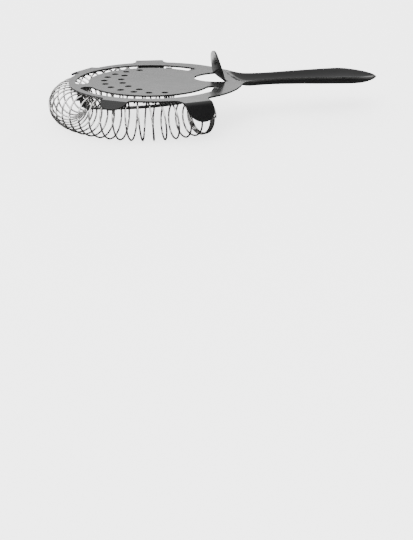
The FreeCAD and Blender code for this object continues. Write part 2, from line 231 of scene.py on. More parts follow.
@dataclass
class PressedSheet:
    """Sheet metal cut to a flat pattern, formed, and divided into named pieces.

    Attributes:
        outlines: the outside first, then the holes.
        form: turns pattern points into places on the sheet's middle surface.
        cuts: open lines that the pieces are divided along.
        inner_points: extra pattern points where the sheet is curved.
        thickness: of the sheet.
        edge_radius: rounding of the sheared edges.
    """

    outlines: list[Outline]
    form: Form
    cuts: list[np.ndarray] = field(default_factory=list)
    inner_points: np.ndarray = field(default_factory=lambda: np.zeros((0, 2)))
    thickness: float = 0.9
    edge_radius: float = 0.09

    LEVELS = (90.0, 60.0, 30.0, 0.0)
    CUT_CLEARANCE = 2.0
    POINT_CLEARANCE = 2.5
    MERGE_DISTANCE = 1e-4
    SMALLEST_AREA = 1e-9
    SLOPE_STEP = 0.02

    def _flat_mesh(self) -> tuple[np.ndarray, np.ndarray, np.ndarray, np.ndarray]:
        """Triangulates the pattern.

        Returns:
            Points, triangles, each point's edge angle in degrees (90 on a free edge, 0 on the
            face) and each point's outward direction.
        """
        points: list[np.ndarray] = []
        tilt: list[float] = []
        out: list[np.ndarray] = []
        edges: list[tuple[int, int]] = []
        ladders: list[list[int]] = []
        for outline in self.outlines:
            outward = outline.outward()
            rows = []
            for place, joined, direction in zip(outline.points, outline.joined, outward):
                row = []
                for angle in self.LEVELS:
                    if joined and row:
                        row.append(row[0])
                        continue
                    inset = self.edge_radius * (1 - math.sin(math.radians(angle)))
                    row.append(len(points))
                    points.append(place - direction * inset)
                    tilt.append(0.0 if joined else angle)
                    out.append(direction)
                rows.append(row)
            ladders += rows
            for level in range(len(self.LEVELS)):
                line = [row[level] for row in rows]
                edges += [(a, b) for a, b in zip(line, line[1:] + line[:1]) if a != b]
        edge_points = np.array([points[row[0]] for row in ladders])
        for cut in self.cuts:
            nearest = [int(np.argmin(np.linalg.norm(edge_points - end, axis=1)))
                       for end in (cut[0], cut[-1])]
            first = list(dict.fromkeys(ladders[nearest[0]]))
            last = list(dict.fromkeys(ladders[nearest[1]][::-1]))
            clear = self.CUT_CLEARANCE * self.edge_radius
            middle = []
            for place in cut[1:-1]:
                if np.min(np.linalg.norm(edge_points - place, axis=1)) > clear:
                    middle.append(len(points))
                    points.append(place)
                    tilt.append(0.0)
                    out.append(np.zeros(2))
            line = first + middle + last
            edges += list(zip(line, line[1:]))
        if len(self.inner_points):
            tree = KDTree(len(points))
            for index, place in enumerate(points):
                tree.insert((*place, 0), index)
            tree.balance()
            clear = self.POINT_CLEARANCE * self.edge_radius
            for place in self.inner_points:
                if tree.find((*place, 0))[2] > clear:
                    points.append(place)
                    tilt.append(0.0)
                    out.append(np.zeros(2))
        found = delaunay_2d_cdt([Vector(p) for p in points], edges, [], 0, self.MERGE_DISTANCE)
        flat = np.array([tuple(v) for v in found[0]])
        triangles = np.array([f for f in found[2] if len(f) == 3])
        angle = np.zeros(len(flat))
        direction = np.zeros((len(flat), 2))
        for index, origins in enumerate(found[3]):
            if origins:
                angle[index], direction[index] = tilt[origins[0]], out[origins[0]]
        inside = self._inside(flat[triangles].mean(axis=1))
        a, b, c = (flat[triangles[:, k]] for k in range(3))
        across, up = b - a, c - a
        area = across[:, 0] * up[:, 1] - across[:, 1] * up[:, 0]
        triangles[area < 0] = triangles[area < 0][:, ::-1]
        return flat, triangles[inside & (np.abs(area) > self.SMALLEST_AREA)], angle, direction

    def _inside(self, places: np.ndarray) -> np.ndarray:
        """Finds which places are on the sheet, by counting outline crossings.

        Args:
            places: pattern points.

        Returns:
            True for each place on the sheet.
        """
        crossings = np.zeros(len(places), int)
        x, y = places.T
        for outline in self.outlines:
            ax, ay = outline.points.T
            bx, by = np.roll(outline.points, -1, axis=0).T
            for x0, y0, x1, y1 in zip(ax, ay, bx, by):
                if y0 == y1:
                    continue
                spans = (y0 > y) != (y1 > y)
                crossings += spans & (x < x0 + (y - y0) * (x1 - x0) / (y1 - y0))
        return crossings % 2 == 1

    def _surface(self, flat: np.ndarray,
                 out: np.ndarray) -> tuple[np.ndarray, np.ndarray, np.ndarray]:
        """Forms the sheet's middle surface.

        Args:
            flat: pattern points.
            out: each point's outward direction on the pattern.

        Returns:
            Places, normals and outward directions on the formed sheet.
        """
        step = self.SLOPE_STEP
        place = self.form(flat)
        along_x = self.form(flat + (step, 0)) - self.form(flat - (step, 0))
        along_y = self.form(flat + (0, step)) - self.form(flat - (0, step))
        normal = np.cross(along_x, along_y)
        normal /= np.linalg.norm(normal, axis=1)[:, None]
        outward = self.form(flat + out * step) - self.form(flat - out * step)
        outward -= (outward * normal).sum(axis=1)[:, None] * normal
        length = np.linalg.norm(outward, axis=1)[:, None]
        still = np.zeros_like(outward)
        return place, normal, np.divide(outward, length, out=still, where=length > 1e-9)

    def pieces(self, region_of: Callable[[np.ndarray], np.ndarray]) -> dict[str, bpy.types.Object]:
        """Builds the formed sheet as closed meshes.

        Args:
            region_of: gives the name of the piece that each pattern place belongs to.

        Returns:
            One object for each name.
        """
        flat, triangles, angle, out = self._flat_mesh()
        place, normal, outward = self._surface(flat, out)
        tilt = np.radians(angle)
        half = self.thickness / 2 - self.edge_radius * (1 - np.cos(tilt))
        face_normal = normal * np.cos(tilt)[:, None]
        side_normal = outward * np.sin(tilt)[:, None]
        layers = [
            (place + normal * half[:, None], face_normal + side_normal),
            (place - normal * half[:, None], side_normal - face_normal),
        ]
        names = region_of(flat[triangles].mean(axis=1))
        owner: dict[tuple[int, int], str] = {}
        for triangle, name in zip(triangles, names):
            for k in range(3):
                owner[(int(triangle[k]), int(triangle[(k + 1) % 3]))] = name
        made = {}
        for name in dict.fromkeys(names):
            chosen = triangles[names == name]
            made[name] = self._piece(name, chosen, layers, owner, tilt, outward)
        return made

    def _piece(self, name: str, triangles: np.ndarray,
               layers: list[tuple[np.ndarray, np.ndarray]], owner: dict[tuple[int, int], str],
               tilt: np.ndarray, outward: np.ndarray) -> bpy.types.Object:
        """Makes one closed mesh: both faces, and walls along its free edges and its cuts.

        Args:
            name: the piece's name.
            triangles: the piece's triangles.
            layers: places and normals of the upper and the lower face.
            owner: the name of the piece on the left of each triangle edge.
            tilt: each point's edge angle in radians.
            outward: each point's direction out of the sheet.

        Returns:
            The object.
        """
        used = np.unique(triangles)
        local = {int(v): i for i, v in enumerate(used)}
        count = len(used)
        vertices = np.concatenate([layers[0][0][used], layers[1][0][used]]) * MM
        faces: list[tuple[int, ...]] = []
        normals: list[np.ndarray] = []
        for a, b, c in triangles:
            faces.append((local[a], local[b], local[c]))
            normals += [layers[0][1][v] for v in (a, b, c)]
            faces.append((local[c] + count, local[b] + count, local[a] + count))
            normals += [layers[1][1][v] for v in (c, b, a)]
        for a, b, c in triangles:
            for v, w in ((a, b), (b, c), (c, a)):
                if owner.get((int(w), int(v))) == name:
                    continue
                faces.append((local[w], local[v], local[v] + count, local[w] + count))
                free = (int(w), int(v)) not in owner and tilt[v] + tilt[w] > 0
                if free:
                    normals += [outward[p] for p in (w, v, v, w)]
                else:
                    top, below = layers[0][0], layers[1][0]
                    across = np.cross(top[w] - top[v], top[v] - below[v])
                    normals += [across / max(np.linalg.norm(across), 1e-12)] * 4
        mesh = bpy.data.meshes.new(name)
        mesh.from_pydata(vertices.tolist(), [], faces)
        mesh.shade_smooth()
        wear = mesh.attributes.new("edge", "FLOAT", "POINT")
        wear.data.foreach_set("value", np.tile(np.sin(tilt[used]), 2).astype(np.float32))
        mesh.normals_split_custom_set([Vector(n) for n in normals])
        obj = bpy.data.objects.new(name, mesh)
        bpy.context.collection.objects.link(obj)
        return obj


@dataclass
class EdgeLug:
    """Prong or lug that runs off the rim, bends down and ends round. Points along +X before turning.

    Attributes:
        name: the finished piece's name.
        node: the CAD node it stands for.
        degrees: where it sits on the rim.
        root: half-width where it meets the rim.
        waist: half-width of the blade.
        bend_start: distance from the axis at which it starts to bend.
        bend_degrees: how far it bends down.
        bend_radius: of the middle of the sheet.
        blade: length of the blade past the bend.
        round_share: length of the round end, in half-widths.
        root_fillet: radius of the corner between rim and root.
        flare: from the rim to where the blade has its even width.
        skew: how far the blade runs sideways for each millimetre past the bend.
    """

    name: str
    node: str
    degrees: float
    root: float
    waist: float
    bend_start: float
    bend_degrees: float
    bend_radius: float
    blade: float
    round_share: float = 1.0
    root_fillet: float = 1.6
    flare: float = 3.2
    skew: float = 0.0

    ROOT_STEP = 0.35
    SIDE_FILLET = 4.0

    def outline(self, rim: float, spacing: float) -> np.ndarray:
        """Runs round the lug's pattern, anticlockwise about the strainer.

        Args:
            rim: the rim's radius.
            spacing: distance between points.

        Returns:
            Points from one root corner to the other.
        """
        tip = self.bend_start + self.bend_radius * math.radians(self.bend_degrees) + self.blade
        round_start = tip - self.round_share * self.waist
        foot = self.root + self.root_fillet
        side = rounded_corners([
            (math.sqrt(rim ** 2 - foot ** 2), -foot, 0),
            (rim + self.ROOT_STEP, -self.root, self.root_fillet),
            (rim + self.flare, -self.waist, self.SIDE_FILLET),
            (round_start, -self.waist, 0),
        ], spacing)
        angle = np.radians(np.arange(-90, 90.1, 5))
        end = np.column_stack([
            round_start + (tip - round_start) * np.cos(angle), self.waist * np.sin(angle)])
        loop = np.concatenate([side[:-1], end, (side * (1, -1))[::-1][1:]])
        loop[:, 1] -= self.skew * np.clip(loop[:, 0] - self.bend_start, 0, None)
        return loop

    def drop(self, u: np.ndarray) -> tuple[np.ndarray, np.ndarray]:
        """Carries pattern distances round the bend.

        Args:
            u: distances from the axis on the flat pattern.

        Returns:
            Distances from the axis, and heights, once bent.
        """
        past = np.clip(u - self.bend_start, 0, None)
        angle = np.clip(past / self.bend_radius, 0, math.radians(self.bend_degrees))
        straight = np.clip(past - self.bend_radius * math.radians(self.bend_degrees), 0, None)
        reach = np.minimum(u, self.bend_start) + self.bend_radius * np.sin(angle)
        height = -self.bend_radius * (1 - np.cos(angle))
        return reach + straight * np.cos(angle), height - straight * np.sin(angle)

    def bend_points(self) -> np.ndarray:
        """Extra pattern points across the bend, turned into place."""
        length = self.bend_radius * math.radians(self.bend_degrees)
        u = self.bend_start + np.linspace(0, length, 9)
        v = np.linspace(-self.waist, self.waist, 13)
        grid = np.array([(a, b) for a in u for b in v])
        return turn(grid, self.degrees)


@dataclass
class Pressing:
    """The pressed sheet: disc, rim, shoulder, handle, prongs and lugs as one formed blank."""

    rim: float = 44.9
    sheet: float = 0.9
    disc_x: float = -3.1
    disc: float = 31.7
    slot_outer: float = 38.5
    slot_start: float = 34.0
    slot_stop: float = 174.5
    hole: float = 1.75
    tab_x: float = 35.9
    tab_half: float = 10.5
    finger_hole: tuple[float, float] = (15.1, 11.0)
    handle_x: float = 40.0
    handle_tip: float = 120.9
    widest_x: float = 104.0
    tongue_band: tuple[float, float] = (35.2, 38.2)
    outer_row: tuple[float, float] = (26.7, 17.1)
    inner_row: tuple[float, float, float] = (12.4, 30.0, 8.15)
    tip_roundness: float = 0.62
    wall: float = 0.95
    bottom_blend: float = 0.012
    crest_rise: float = 4.4
    crest_half: float = 13.7
    ramp: float = 8.0
    ramp_fillet: float = 1.2
    spacing: float = 0.8
    lugs: list[EdgeLug] = field(default_factory=list)

    WIDTHS = ((40.0, 20.4), (42.0, 16.9), (44.4, 13.9), (47.0, 11.2), (50.5, 9.4), (56.0, 8.3),
              (62.0, 8.1), (75.0, 9.0), (90.0, 10.8), (104.0, 12.2))
    RIM_HEIGHTS = ((40.0, 0.9), (43.0, 0.8), (46.0, 0.45), (50.5, 0.05), (60.0, 0.0), (75.0, -0.1),
                   (90.0, -0.4), (103.0, -0.8), (111.0, -1.6), (117.0, -2.4), (121.2, -3.1))
    DEPTHS = ((40.0, 2.9), (50.5, 3.5), (60.0, 3.5), (75.0, 3.9), (90.0, 4.4), (103.0, 4.6),
              (111.0, 3.9), (117.0, 2.3), (121.2, 0.4))

    def __post_init__(self) -> None:
        """Adds the prongs and lugs of both sides."""
        for side in Side:
            self.lugs.append(EdgeLug(
                name=f"{side.word}_prong", node=f"{side.word}_rim_prong",
                degrees=side.value * 80.0, root=8.0, waist=7.3, bend_start=49.85,
                bend_degrees=78.0, bend_radius=1.95, blade=8.1, skew=0.22))
            self.lugs.append(EdgeLug(
                name=f"{side.word}_lug", node=f"{side.word}_rim_lug",
                degrees=side.value * 129.6, root=7.3, waist=6.9, bend_start=46.9,
                bend_degrees=24.0, bend_radius=2.0, blade=6.7, round_share=0.95,
                root_fillet=1.0, flare=1.4))

    def half_width(self, x: np.ndarray) -> np.ndarray:
        """Half-width of the neck and handle."""
        past = np.clip((x - self.widest_x) / (self.handle_tip - self.widest_x), 0, 1)
        return smooth_curve(x, self.WIDTHS) * (1 - past ** 2) ** self.tip_roundness

    def outside(self) -> Outline:
        """Outline of the whole blank, anticlockwise from the handle's tip."""
        share = np.linspace(0, 1, 160)
        x = self.handle_x + (self.handle_tip - self.handle_x) * np.sin(share * math.pi / 2)
        side = np.column_stack([x, self.half_width(x)])[::-1]
        side[0, 1] = 0.0
        line = [even_points(side, self.spacing)]
        here = math.degrees(math.atan2(side[-1, 1], side[-1, 0]))
        for lug in sorted((g for g in self.lugs if g.degrees > 0), key=lambda g: g.degrees):
            blade = turn(lug.outline(self.rim, self.spacing), lug.degrees)
            first = math.degrees(math.atan2(blade[0, 1], blade[0, 0]))
            steps = max(3, int(math.radians(first - here) * self.rim / self.spacing))
            line += [polar(self.rim, np.linspace(here, first, steps))[1:-1], blade]
            here = math.degrees(math.atan2(blade[-1, 1], blade[-1, 0]))
        steps = int(math.radians(180 - here) * self.rim / self.spacing)
        line.append(polar(self.rim, np.linspace(here, 180, steps))[1:])
        upper = np.concatenate(line)
        return Outline(np.concatenate([upper, mirror(upper)[1:-1]]))

    def slot(self, side: Side) -> Outline:
        """Cuts one arc slot with round ends. The tongue is sheared from its end by the handle.

        Args:
            side: which slot.

        Returns:
            The slot's outline, clockwise, joined where the tongue's root is.
        """
        middle, end = (self.slot_outer + self.disc) / 2, (self.slot_outer - self.disc) / 2
        ease = math.degrees(end / middle)
        start, stop = self.slot_start + ease, self.slot_stop - ease
        steps = int(math.radians(stop - start) * self.slot_outer / self.spacing)
        sweep = np.linspace(start, stop, steps)
        round_angles = np.radians(np.linspace(-90, 90, 17)[1:-1])
        front_end = [polar(middle - end * math.sin(a), stop + ease * math.cos(a), self.disc_x)[0]
                     for a in round_angles]
        handle_end = [polar(middle + end * math.sin(a), start - ease * math.cos(a), self.disc_x)[0]
                      for a in round_angles]
        loop = np.concatenate([
            polar(self.disc, sweep, self.disc_x), np.array(front_end)[::-1],
            polar(self.slot_outer, sweep[::-1], self.disc_x), np.array(handle_end)[::-1]])
        loop = loop if side is Side.FAR else mirror(loop)
        from_disc = loop - (self.disc_x, 0)
        radius = np.linalg.norm(from_disc, axis=1)
        angle = np.abs(np.degrees(np.arctan2(from_disc[:, 1], from_disc[:, 0])))
        low, high = self.tongue_band
        return Outline(loop, (radius > low) & (radius < high) & (angle < start - 0.01))

    def finger_outline(self) -> Outline:
        """Hole that the finger tab is lanced from, clockwise."""
        length, half = self.finger_hole
        angle = np.radians(np.linspace(90, 270, 61))
        curve = np.column_stack([self.tab_x + length * np.cos(angle), half * np.sin(angle)])
        y = np.linspace(-self.tab_half, self.tab_half, 28)
        root = np.column_stack([np.full(len(y), self.tab_x), y])
        loop = np.concatenate([curve, root])[::-1]
        on_root = np.abs(loop[:, 0] - self.tab_x) < 1e-6
        return Outline(loop, on_root & (np.abs(loop[:, 1]) <= self.tab_half + 1e-6))

    def perforations(self) -> list[Outline]:
        """Two arcs of round drain holes, each clockwise."""
        radius, step = self.outer_row
        centres = [polar(radius, 180 + step * k)[0] for k in range(-5, 6)]
        centre_x, radius, step = self.inner_row
        for k in range(-2, 3):
            y = step * k
            centres.append(np.array([centre_x - math.sqrt(radius ** 2 - y * y), y]))
        circle = polar(self.hole, np.linspace(360, 0, 40, endpoint=False))
        return [Outline(circle + centre) for centre in centres]

    def trough(self, x: np.ndarray, y: np.ndarray) -> np.ndarray:
        """Says how far the neck and handle are pressed below their rim.

        Args:
            x: X of the places.
            y: Y of the places.

        Returns:
            Depths below the rim.
        """
        across = np.abs(y) / np.maximum(self.half_width(x), 0.3)
        rise = 1 - (across / self.wall) ** 3
        bowl = 0.5 * (rise + np.sqrt(rise ** 2 + self.bottom_blend))
        crest = self.handle_x + self.crest_rise * np.clip(np.abs(y) / self.crest_half, 0, 1) ** 5
        enter = np.clip((x - crest) / self.ramp, 0, 1)
        ease = np.clip((x - crest) / self.ramp_fillet, 0, 1)
        return smooth_curve(x, self.DEPTHS) * bowl * (1 - (1 - enter) ** 2) * ease * (2 - ease)

    def form(self, pattern: np.ndarray) -> np.ndarray:
        """Places on the middle of the sheet for places on the flat blank."""
        x, y = pattern.T
        place = np.column_stack([x, y, np.full(len(x), self.sheet / 2)])
        on_handle = x > self.handle_x
        top = smooth_curve(x, self.RIM_HEIGHTS) - self.trough(x, y)
        place[on_handle, 2] = top[on_handle] - self.sheet / 2
        for lug in self.lugs:
            local = turn(pattern, -lug.degrees)
            bent = (local[:, 0] > lug.bend_start) & (np.abs(local[:, 1]) < lug.root + 2)
            if bent.any():
                reach, height = lug.drop(local[bent, 0])
                place[bent, :2] = turn(np.column_stack([reach, local[bent, 1]]), lug.degrees)
                place[bent, 2] = self.sheet / 2 + height
        return place

    def region_of(self, places: np.ndarray) -> np.ndarray:
        """Name of the piece that each place on the blank belongs to."""
        radius = np.linalg.norm(places, axis=1)
        angle = np.degrees(np.arctan2(places[:, 1], places[:, 0]))
        from_disc = places - (self.disc_x, 0)
        disc_angle = np.abs(np.degrees(np.arctan2(from_disc[:, 1], from_disc[:, 0])))
        ease = math.degrees((self.slot_outer - self.disc) / (self.slot_outer + self.disc))
        name = np.full(len(places), "pressed_rim", dtype=object)
        name[disc_angle < self.slot_start + ease] = "pressed_shoulder"
        name[np.linalg.norm(from_disc, axis=1) < self.disc] = "pressed_disc"
        for lug in self.lugs:
            name[(radius > self.rim - 0.02) & (np.abs(angle - lug.degrees) < 16)] = lug.name
        name[places[:, 0] > self.handle_x] = "troughed_handle"
        return name

    def cuts(self) -> list[np.ndarray]:
        """Lines that divide the blank into pieces."""
        ease = math.degrees((self.slot_outer - self.disc) / (self.slot_outer + self.disc))
        start, stop = self.slot_start + ease, self.slot_stop - ease
        length, half = self.finger_hole
        meet = 0.0
        for degrees in np.linspace(0, start, 400):
            x, y = polar(self.disc, degrees, self.disc_x)[0]
            if ((x - self.tab_x) / length) ** 2 + (y / half) ** 2 > 1:
                meet = degrees
                break
        found = [polar(self.disc, np.linspace(stop, 360 - stop, 12), self.disc_x)]
        for side in Side:
            arc = polar(self.disc, np.linspace(start, meet, 14), self.disc_x)
            found.append(arc * (1, side.value))
            foot = polar(self.slot_outer, start, self.disc_x)[0]
            away = foot - (self.disc_x, 0)
            away /= np.linalg.norm(away)
            reach = 0.0
            while np.linalg.norm(foot + away * reach) < self.rim:
                reach += 0.01
            found.append(np.linspace(foot, foot + away * reach, 6) * (1, side.value))
        width = float(self.half_width(np.array([self.handle_x]))[0])
        found.append(np.column_stack([np.full(40, self.handle_x), np.linspace(width, -width, 40)]))
        for lug in self.lugs:
            half_angle = math.degrees(math.asin((lug.root + lug.root_fillet) / self.rim))
            sweep = np.linspace(lug.degrees - half_angle, lug.degrees + half_angle, 16)
            found.append(polar(self.rim, sweep))
        return found

    def inner_points(self) -> np.ndarray:
        """Extra pattern points where the sheet is curved."""
        grid = [lug.bend_points() for lug in self.lugs]
        for low, high, step in ((self.handle_x - 0.4, 54.0, 0.6), (54.0, self.handle_tip, 1.0)):
            for x in np.arange(low, high, step):
                width = float(self.half_width(np.array([x]))[0])
                y = np.linspace(-width, width, max(3, int(2 * width / 0.75)))
                grid.append(np.column_stack([np.full(len(y), x), y]))
        return np.concatenate(grid)

    def build(self) -> dict[str, bpy.types.Object]:
        """Makes every piece of the blank."""
        holes = [self.slot(side) for side in Side] + [self.finger_outline()] + self.perforations()
        sheet = PressedSheet(
            [self.outside(), *holes], self.form, self.cuts(), self.inner_points(), self.sheet)
        return sheet.pieces(self.region_of)

    def replaced(self) -> dict[str, str]:
        """CAD node that each piece stands for."""
        nodes = {"pressed_disc": "strainer_disc", "pressed_rim": "rim_ring",
                 "pressed_shoulder": "shoulder", "troughed_handle": "handle"}
        nodes.update({lug.name: lug.node for lug in self.lugs})
        return nodes


@dataclass
class FingerTab:
    """Tab lanced out of the finger hole, bent up and dished for a fingertip."""

    root_x: float = 35.9
    half: float = 10.5
    sheet: float = 0.9
    level: float = 0.3
    bend_radius: float = 1.95
    blade: float = 12.95
    lean: float = 10.5
    dish: float = 0.8
    foot: float = 1.4
    grid: tuple[float, float] = (0.6, 0.85)

    @property
    def length(self) -> float:
        """Length of the flat tab."""
        return self.level + self.bend_radius * math.radians(90 - self.lean) + self.blade

    def outline(self) -> Outline:
        """Straight root, and a blade that ends in half an ellipse."""
        angle = np.radians(np.linspace(-90, 90, 73))
        curve = np.column_stack([
            self.foot + (self.length - self.foot) * np.cos(angle), self.half * np.sin(angle)])
        y = np.linspace(self.half, -self.half, 28)
        root = np.column_stack([np.zeros(len(y)), y])
        loop = np.concatenate([curve, root])
        return Outline(loop, loop[:, 0] < 1e-6)

    def form(self, pattern: np.ndarray) -> np.ndarray:
        """Bends the flat tab up out of the plate and dishes it."""
        u, v = pattern.T
        past = np.clip(u - self.level, 0, None)
        full = math.radians(90 - self.lean)
        angle = np.clip(past / self.bend_radius, 0, full)
        straight = np.clip(past - self.bend_radius * full, 0, None)
        out = np.minimum(u, self.level) + self.bend_radius * np.sin(angle)
        out = out + straight * np.cos(angle)
        up = self.bend_radius * (1 - np.cos(angle)) + straight * np.sin(angle)
        share = np.clip(straight / self.blade, 0, 1)
        hollow = self.dish * np.sin(np.pi * share ** 0.8) * (1 - (v / self.half) ** 2)
        return np.column_stack([self.root_x - out - hollow, v, self.sheet / 2 + up])

    def inner_points(self) -> np.ndarray:
        """Grid over the whole tab."""
        along, across = self.grid
        reach = self.length - self.foot
        inside = 0.97
        return np.array([
            (u, v) for u in np.arange(self.level, self.length, along)
            for v in np.arange(-10.2, 10.3, across)
            if u < self.foot or ((u - self.foot) / reach) ** 2 + (v / self.half) ** 2 < inside])

    def build(self) -> bpy.types.Object:
        """Makes the tab."""
        name = "dished_finger_tab"
        sheet = PressedSheet([self.outline()], self.form, [], self.inner_points(), self.sheet)
        return sheet.pieces(lambda p: np.full(len(p), name, dtype=object))[name]


@dataclass
class SpringTongue:
    """Strip sheared from a slot, stepped down under the plate, with a turned-up free end."""

    side: Side
    disc_x: float = -3.1
    outer: float = 38.2
    slot_middle: float = 35.1
    slot_round: float = 3.4
    slot_start: float = 34.0
    side_start: float = 39.6
    tip: float = 175.8
    tip_round: float = 2.2
    root_width: float = 3.0
    sheet: float = 0.9
    edge_radius: float = 0.16

    WIDTHS = ((33.0, 3.0), (64.0, 3.0), (90.0, 3.3), (122.0, 3.8), (138.0, 3.8), (164.0, 3.4),
              (176.0, 3.0))
    UNDERSIDES = ((33.0, 0.0), (37.5, -0.05), (42.0, -1.4), (46.0, -2.35), (54.0, -2.5), (64.0, -2.5),
                  (76.0, -2.8), (90.0, -3.3), (106.0, -4.1), (122.0, -5.1), (138.0, -6.4),
                  (152.0, -7.6), (164.0, -8.6), (169.5, -8.75), (173.5, -7.4), (175.8, -5.3))

    def degrees_at(self, along: np.ndarray) -> np.ndarray:
        """Angle about the disc's centre for a pattern distance."""
        return np.degrees(along / self.outer)

    def outline(self) -> Outline:
        """Strip between its two sheared sides; the root follows the round end of the slot."""
        round_start = self.tip - self.tip_round
        sweep = np.linspace(self.side_start, round_start, 190)
        inner = self.outer - smooth_curve(sweep, self.WIDTHS)
        across = np.linspace(self.outer - self.root_width, self.outer, 9) - self.slot_middle
        back = np.sqrt(np.clip(self.slot_round ** 2 - across ** 2, 0, None)) / self.slot_middle
        ease = math.degrees(self.slot_round / self.slot_middle)
        root = np.column_stack([
            self.slot_start + ease - np.degrees(back), across + self.slot_middle])
        tip_half = float(smooth_curve(np.array([self.tip]), self.WIDTHS)[0]) / 2
        angle = np.radians(np.linspace(-90, 90, 15))
        tip = np.column_stack([
            round_start + self.tip_round * np.cos(angle),
            self.outer - tip_half + tip_half * np.sin(angle)])
        polar_line = np.concatenate([
            np.column_stack([sweep[1:-1], inner[1:-1]]), tip,
            np.column_stack([sweep[::-1][1:-1], np.full(len(sweep) - 2, self.outer)]), root[::-1]])
        loop = np.column_stack([np.radians(polar_line[:, 0]) * self.outer, polar_line[:, 1]])
        loop = loop if self.side is Side.FAR else loop * (1, -1)
        joined = np.zeros(len(loop), bool)
        joined[-len(root):] = True
        after = np.roll(loop, -1, axis=0)
        if np.sum(loop[:, 0] * after[:, 1] - loop[:, 1] * after[:, 0]) < 0:
            loop, joined = loop[::-1], joined[::-1]
        return Outline(loop, joined)

    def form(self, pattern: np.ndarray) -> np.ndarray:
        """Wraps the strip round its arc and lowers it."""
        degrees = self.degrees_at(pattern[:, 0])
        radius = np.abs(pattern[:, 1])
        angle = np.radians(degrees)
        z = smooth_curve(degrees, self.UNDERSIDES) + self.sheet / 2
        y = radius * np.sin(angle) * self.side.value
        return np.column_stack([self.disc_x + radius * np.cos(angle), y, z])

    def inner_points(self) -> np.ndarray:
        """Three rows of points down the strip."""
        return np.array([
            (math.radians(a) * self.outer, self.side.value * (self.outer - inward))
            for a in np.arange(38.0, 174.5, 0.8) for inward in (0.8, 1.6, 2.4)])

    def build(self) -> bpy.types.Object:
        """Makes the tongue."""
        name = f"{self.side.word}_tongue"
        sheet = PressedSheet([self.outline()], self.form, [], self.inner_points(), self.sheet,
                             self.edge_radius)
        return sheet.pieces(lambda p: np.full(len(p), name, dtype=object))[name]


# ---------------------------------------------------------------- coil spring
@dataclass(frozen=True)
class Stretch:
    """Part of the coil's wire.

    Attributes:
        name: the finished piece's name.
        turns: first and last turn number.
        nodes: the CAD nodes it stands for.
        bodies: the body it leaves and the body it turns to; not used.
        between: X in millimetres where it leaves the first and reaches the second; not used.
    """

    name: str
    turns: tuple[float, float]
    nodes: tuple[str, ...]
    bodies: tuple[str, str]
    between: tuple[float, float]


